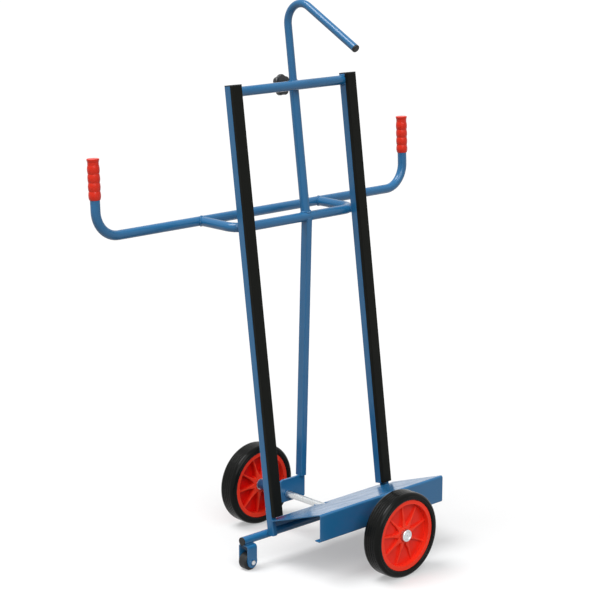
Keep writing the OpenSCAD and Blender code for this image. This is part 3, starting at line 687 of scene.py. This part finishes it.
# %% Beads on the axle
AXLE = Vector((-23, 0, 125))
AXLE_R, SPACER_R = 10.0, 15.0
AXLE_BEAD_SIDE, AXLE_BEAD_SINK, AXLE_BEAD_LENGTH, AXLE_BEAD_SIZE = 0.4, 0.5, 22, 0.8
PLATE_BEAD_SIDE, PLATE_BEAD_Y, PLATE_BEAD_Z = 0.6, 166.5, 170.3
PLATE_BEAD_LENGTH, PLATE_BEAD_SIZE = 7, 0.7
AXLE_RINGS = (
    {"y": -192.5, "radius": AXLE_R + 0.6, "span": (30, 150, ARC_STEPS), "size": 0.8},
    {"y": -215.6, "radius": SPACER_R + 0.5, "span": (24, 156, ARC_STEPS), "size": 1.0},
    {"y": 165.4, "radius": AXLE_R + 0.6, "span": (0, 360, 2 * ARC_STEPS), "size": 0.9},
    {"y": 174.6, "radius": SPACER_R + 0.6, "span": (0, 360, 2 * ARC_STEPS), "size": 1.0},
)

for side in (-1, 1):
    x = AXLE.x + side * (AXLE_R + AXLE_BEAD_SIDE)
    start = Vector((x, ROLLER_Y - AXLE_BEAD_LENGTH / 2, AXLE.z - AXLE_BEAD_SINK))
    bead(straight(start, AXLE_BEAD_LENGTH * ACROSS), AXLE_BEAD_SIZE)
    start = Vector((SPINE_X + side * (STRUT_HALF + PLATE_BEAD_SIDE), PLATE_BEAD_Y, PLATE_BEAD_Z))
    bead(straight(start, PLATE_BEAD_LENGTH * ACROSS), PLATE_BEAD_SIZE)
for ring in AXLE_RINGS:
    bead(arc(AXLE + ring["y"] * ACROSS, ALONG, UP, ring["radius"], *ring["span"]), ring["size"])
gather("weld_beads_chassis")

# %% [markdown]
# ## Moulded tyres
# A solid site tyre has shallow grooves in its tread for grip, and a ring pressed into each wall that sets off
# the bead on the rim. Their edges catch thin lines of light and show at the outline, which a bump can't give.
# Grooves could be cut one by one, but every one is a ring. So the cross-section is drawn once as a line,
# pressed in where a groove runs, and spun round the axle.

# %% Cross-section of a tyre
TYRE_R, TYRE_BORE_R, TYRE_HALF = 125.0, 103.5, 30.0
SHOULDER_R, TYRE_FOOT_R = 13.0, 6.0
TYRE_STEP = 0.8
GROOVES = (
    {"at": 4.2, "half": 1.5, "depth": 1.2},
    {"at": 12.6, "half": 1.5, "depth": 1.2},
    {"at": 35.6, "half": 2.2, "depth": 1.4},
)
SHOULDER_AT = TYRE_HALF - SHOULDER_R
WALL_AT = SHOULDER_AT + SHOULDER_R * math.pi / 2
FOOT_AT = WALL_AT + TYRE_R - SHOULDER_R - TYRE_FOOT_R - TYRE_BORE_R
BORE_AT = FOOT_AT + TYRE_FOOT_R * math.pi / 2


def tyre_outline(walk):
    """Point and outward direction on half a tyre's section, by the mm walked from the tread's middle."""
    if walk < SHOULDER_AT:
        return Vector((TYRE_R, walk, 0)), ALONG
    if walk < WALL_AT:
        turn = (walk - SHOULDER_AT) / SHOULDER_R
        way = math.cos(turn) * ALONG + math.sin(turn) * ACROSS
        return Vector((TYRE_R - SHOULDER_R, SHOULDER_AT, 0)) + SHOULDER_R * way, way
    if walk < FOOT_AT:
        return Vector((TYRE_R - SHOULDER_R - (walk - WALL_AT), TYRE_HALF, 0)), ACROSS
    turn = math.pi / 2 + (walk - FOOT_AT) / TYRE_FOOT_R
    way = math.cos(turn) * ALONG + math.sin(turn) * ACROSS
    return Vector((TYRE_BORE_R + TYRE_FOOT_R, TYRE_HALF - TYRE_FOOT_R, 0)) + TYRE_FOOT_R * way, way


half_section = []
count = round(BORE_AT / TYRE_STEP)
for i in range(count + 1):
    walk = BORE_AT * i / count
    place, way = tyre_outline(walk)
    for groove in GROOVES:
        off = (walk - groove["at"]) / groove["half"]
        if abs(off) < 1:
            place = place - groove["depth"] * (1 + math.cos(math.pi * off)) / 2 * way
    half_section.append(place)
section = [Vector((place.x, -place.y, 0)) for place in reversed(half_section[1:])] + half_section
print("Tyre section with", len(section), "points")

# %% Spin the tyres
TYRE_TURNS = 144

drawn_line(section, True)
bpy.ops.object.convert(target="MESH")
tyre = bpy.context.object
bpy.ops.object.mode_set(mode="EDIT")
bpy.ops.mesh.select_all(action="SELECT")
bpy.ops.mesh.spin(steps=TYRE_TURNS, angle=2 * math.pi, center=(0, 0, 0), axis=ACROSS)
bpy.ops.object.mode_set(mode="OBJECT")
for side, name in ((-1, "front"), (1, "rear")):
    only(tyre)
    bpy.ops.object.duplicate()
    piece = bpy.context.object
    piece.location = AXLE_PLACE + side * WHEEL_Y * MM * ACROSS
    settle(piece, name + "_grooved_tyre", tyre_rubber, name + "_wheel", "tyre", name + "_tyre")
bpy.data.objects.remove(tyre, do_unlink=True)

# %% [markdown]
# ## Threads
# The clamp screw and the rollers' bolts have a real thread that catches the light in fine steps.
# A stack of rings would look the same from afar but would not wind on. So a small V, cut from a
# four-cornered circle, is wound up the axis by the Screw modifier, one pitch for each turn, and the ends are
# cut flat and drawn in to a chamfer.

# %% Threaded rod
THREAD_STEPS = 28
V_CORNERS, V_INNER_SHARE = 4, 0.25
CHAMFER = 0.8


def threaded_rod(radius, pitch, low, high):
    """A threaded rod along Z between two heights, in mm, with a chamfer at both ends."""
    bpy.ops.object.select_all(action="DESELECT")
    root = radius - pitch / 2
    bpy.ops.mesh.primitive_circle_add(
        vertices=V_CORNERS, radius=pitch / 2 * MM, location=(root * MM, 0, (low - pitch) * MM),
        rotation=(math.radians(90), 0, 0),
    )
    rod = written(bpy.context.object)
    pick(rod, lambda place, normal: place.x < (root - V_INNER_SHARE * pitch) * MM, "vertices")
    bpy.ops.mesh.delete(type="VERT")
    bpy.ops.object.mode_set(mode="OBJECT")
    bpy.ops.object.modifier_add(type="SCREW")
    step = rod.modifiers[-1]
    step.axis, step.screw_offset, step.iterations = "Z", pitch * MM, math.ceil((high - low) / pitch) + 2
    step.steps = step.render_steps = THREAD_STEPS
    step.use_merge_vertices = True
    bpy.ops.object.modifier_apply(modifier=step.name)
    for height, outer in ((low, False), (high, True)):
        bpy.ops.object.mode_set(mode="EDIT")
        bpy.ops.mesh.select_all(action="SELECT")
        bpy.ops.mesh.remove_doubles(threshold=DOUBLE_GAP)
        bpy.ops.mesh.bisect(
            plane_co=(0, 0, height * MM), plane_no=(0, 0, 1), use_fill=True,
            clear_outer=outer, clear_inner=not outer,
        )
        way = 1 if outer else -1
        bpy.ops.mesh.extrude_region_move(
            TRANSFORM_OT_translate={"value": (0, 0, way * CHAMFER * MM), "orient_type": "GLOBAL"},
        )
        shrink = 1 - CHAMFER / radius
        bpy.ops.transform.resize(value=(shrink, shrink, 1), center_override=(0, 0, height * MM))
        bpy.ops.object.mode_set(mode="OBJECT")
    return rod


CLAMP_TURN = Matrix.Rotation(-LEAN - math.pi / 2, 4, "X")
CLAMP = Matrix.Translation(leaning(SPINE_X, SPINE_N, CLAMP_S) * MM) @ CLAMP_TURN
SCREW_R, SCREW_PITCH = 5.0, 1.5
SCREW_TIP, SCREW_END = 12.0, 51.5
screw = threaded_rod(SCREW_R, SCREW_PITCH, SCREW_TIP + CHAMFER, SCREW_END - CHAMFER)
screw.matrix_world = CLAMP
settle(screw, "threaded_clamp_screw", zinc, "clamp_screw", "zinc", "knob_screw")

# %% [markdown]
# ## Star knob
# The knob is one moulding: seven shallow lobes for the fingers, rounded edges, a dished outer face and a boss
# round the screw. It starts as a cylinder with eight corners to each lobe. Corners at the same place in
# every lobe are drawn in together, so the lobes stay alike. Each end is then extruded in small steps that
# draw in along a quarter circle, which rounds the edges without the spikes that a wide bevel leaves in the
# hollows.

# %% Model the knob
LOBES, LOBE_CORNERS = 7, 8
LOBE_SHARES = (1.0, 0.988, 0.953, 0.912, 0.895)
KNOB_R, KNOB_T, KNOB_STAND = 31.9, 17.0, 43.0
KNOB_EDGE, EDGE_STEPS = 5.0, 5
DISH_SHARE, DISH_FLOOR_SHARE, DISH_DEPTH = 0.72, 0.92, 1.6
END_FACE, FLAT_FACE = 0.9, 0.999

bpy.ops.object.select_all(action="DESELECT")
bpy.ops.mesh.primitive_cylinder_add(
    vertices=LOBES * LOBE_CORNERS, radius=KNOB_R * MM, depth=(KNOB_T - 2 * KNOB_EDGE) * MM,
    location=(0, 0, (KNOB_STAND + KNOB_T / 2) * MM),
)
knob = written(bpy.context.object)


def lobe_step(place):
    """How many corners a point lies from the tip of its lobe; the first lobe points up."""
    turn = (math.atan2(place.y, place.x) + math.pi / 2) / (2 * math.pi) * LOBES * LOBE_CORNERS
    step = round(turn) % LOBE_CORNERS
    return min(step, LOBE_CORNERS - step)


for step, share in enumerate(LOBE_SHARES):
    pick(knob, lambda place, normal: lobe_step(place) == step, "vertices")
    bpy.ops.transform.resize(value=(share, share, 1), center_override=(0, 0, 0))
    bpy.ops.object.mode_set(mode="OBJECT")


def grow(rise, share):
    """Extrudes the picked face along Z by a height in mm, and draws it in towards the axis."""
    move = {"value": (0, 0, rise * MM), "orient_type": "GLOBAL"}
    bpy.ops.mesh.extrude_region_move(TRANSFORM_OT_translate=move)
    bpy.ops.transform.resize(value=(share, share, 1), center_override=(0, 0, 0))


for way in (-1, 1):
    pick(knob, lambda place, normal: normal.z * way > END_FACE)
    for i in range(EDGE_STEPS):
        low, high = (math.pi / 2 * k / EDGE_STEPS for k in (i, i + 1))
        reach = [KNOB_R - KNOB_EDGE * (1 - math.cos(turn)) for turn in (low, high)]
        grow(way * KNOB_EDGE * (math.sin(high) - math.sin(low)), reach[1] / reach[0])
    bpy.ops.object.mode_set(mode="OBJECT")
pick(knob, lambda place, normal: normal.z > FLAT_FACE)
grow(0, DISH_SHARE)
grow(-DISH_DEPTH, DISH_FLOOR_SHARE)
bpy.ops.object.mode_set(mode="OBJECT")
print("Knob disc with", len(knob.data.vertices), "points")

# %% [markdown]
# The boss is a short cone with a rounded foot, joined to the disc by a Boolean. A bore then takes the screw.

# %% Boss and bore of the knob
BOSS_R, BOSS_FOOT_R, BOSS_T, BOSS_OVERLAP = 12.0, 10.6, 10.0, 2
BOSS_EDGE, BOSS_EDGE_STEPS = 1.5, 3
BORE_CORNERS, SCREW_PLAY = 48, 0.05

bpy.ops.object.select_all(action="DESELECT")
bpy.ops.mesh.primitive_cone_add(
    vertices=BORE_CORNERS, radius1=BOSS_FOOT_R * MM, radius2=BOSS_R * MM, depth=(BOSS_T + BOSS_OVERLAP) * MM,
    location=(0, 0, (KNOB_STAND - BOSS_T / 2 + BOSS_OVERLAP / 2) * MM),
)
boss = written(bpy.context.object)
pick(boss, lambda place, normal: normal.z < -END_FACE)
bpy.ops.mesh.bevel(offset=BOSS_EDGE * MM, segments=BOSS_EDGE_STEPS, affect="EDGES")
bpy.ops.object.mode_set(mode="OBJECT")
combine(knob, boss, "UNION")
bpy.ops.object.select_all(action="DESELECT")
bpy.ops.mesh.primitive_cylinder_add(
    vertices=BORE_CORNERS, radius=(SCREW_R + SCREW_PLAY) * MM, depth=SCREW_END * MM,
    location=(0, 0, SCREW_END / 2 * MM),
)
combine(knob, bpy.context.object, "DIFFERENCE")
knob.matrix_world = CLAMP
settle(knob, "moulded_star_knob", knob_plastic, "knob", "black_plastic", "star_knob")

# %% [markdown]
# ## Roller bolts and nuts
# Each roller turns on a hexagon bolt. A bolt's head and a nut are cut from hexagon bar and their corners are
# turned off in a lathe, which leaves the curved chamfers that tell a real bolt from a six-sided prism.
# The prism is therefore intersected with a blunt cone, which is the shape that the lathe tool leaves.

# %% Hexagon with turned corners
BOLT_R, BOLT_PITCH = 4.0, 1.25
HEX_SIDES, HEX_CORNER_R, HEX_TURN = 6, 7.4, math.radians(30)
HEAD_T, NUT_T, NUT_PLAY, BOLT_SPARE = 5.3, 6.5, 0.1, 3.0
FORK_FACE = 20.0
SHANK_OVERLAP = 1
TURNED_R, TURNED_CORNERS, TURNED_SPARE = 6.1, 72, 1
TURNED_SLOPE = math.tan(math.radians(60))


def turned_hexagon(low, high):
    """A hexagon along Z between two heights, in mm, with its corners turned off at the far end."""
    tall = abs(high - low)
    bpy.ops.object.select_all(action="DESELECT")
    bpy.ops.mesh.primitive_cylinder_add(
        vertices=HEX_SIDES, radius=HEX_CORNER_R * MM, depth=tall * MM, location=(0, 0, (low + high) / 2 * MM),
        rotation=(0, 0, HEX_TURN),
    )
    hexagon = written(bpy.context.object)
    cone = tall + TURNED_SPARE
    wide = TURNED_R + cone * TURNED_SLOPE
    radii = (wide, TURNED_R) if high > low else (TURNED_R, wide)
    bpy.ops.object.select_all(action="DESELECT")
    bpy.ops.mesh.primitive_cone_add(
        vertices=TURNED_CORNERS, radius1=radii[0] * MM, radius2=radii[1] * MM, depth=cone * MM,
        location=(0, 0, (high - math.copysign(cone / 2, high - low)) * MM),
    )
    combine(hexagon, bpy.context.object, "INTERSECT")
    return hexagon


head = turned_hexagon(-FORK_FACE, -FORK_FACE - HEAD_T)
shank_end = FORK_FACE + NUT_T + BOLT_SPARE - CHAMFER
shank = threaded_rod(BOLT_R, BOLT_PITCH, -FORK_FACE - SHANK_OVERLAP, shank_end)
combine(head, shank, "UNION")
nut = turned_hexagon(FORK_FACE, FORK_FACE + NUT_T)
bpy.ops.object.select_all(action="DESELECT")
bpy.ops.mesh.primitive_cylinder_add(
    vertices=BORE_CORNERS, radius=(BOLT_R + NUT_PLAY) * MM, depth=4 * NUT_T * MM,
    location=(0, 0, FORK_FACE * MM),
)
combine(nut, bpy.context.object, "DIFFERENCE")
print("Bolt points:", len(head.data.vertices), "nut points:", len(nut.data.vertices))

# %% Place the bolts and nuts
ROLLER_AXIS_Z = 25
BOLT_TURN = Matrix.Rotation(-math.pi / 2, 4, "X")

for part, kind in ((head, "bolt"), (nut, "nut")):
    for side, name in ((1, "right"), (-1, "left")):
        only(part)
        bpy.ops.object.duplicate()
        piece = bpy.context.object
        place = Vector((side * FORK_X, ROLLER_Y, ROLLER_AXIS_Z)) * MM
        piece.matrix_world = Matrix.Translation(place) @ BOLT_TURN
        settle(piece, "%s_turned_%s" % (name, kind), zinc, "frame", "zinc", "%s_roller_%s" % (name, kind))
    bpy.data.objects.remove(part, do_unlink=True)

# %% Update the scene and finish
bpy.context.view_layer.update()
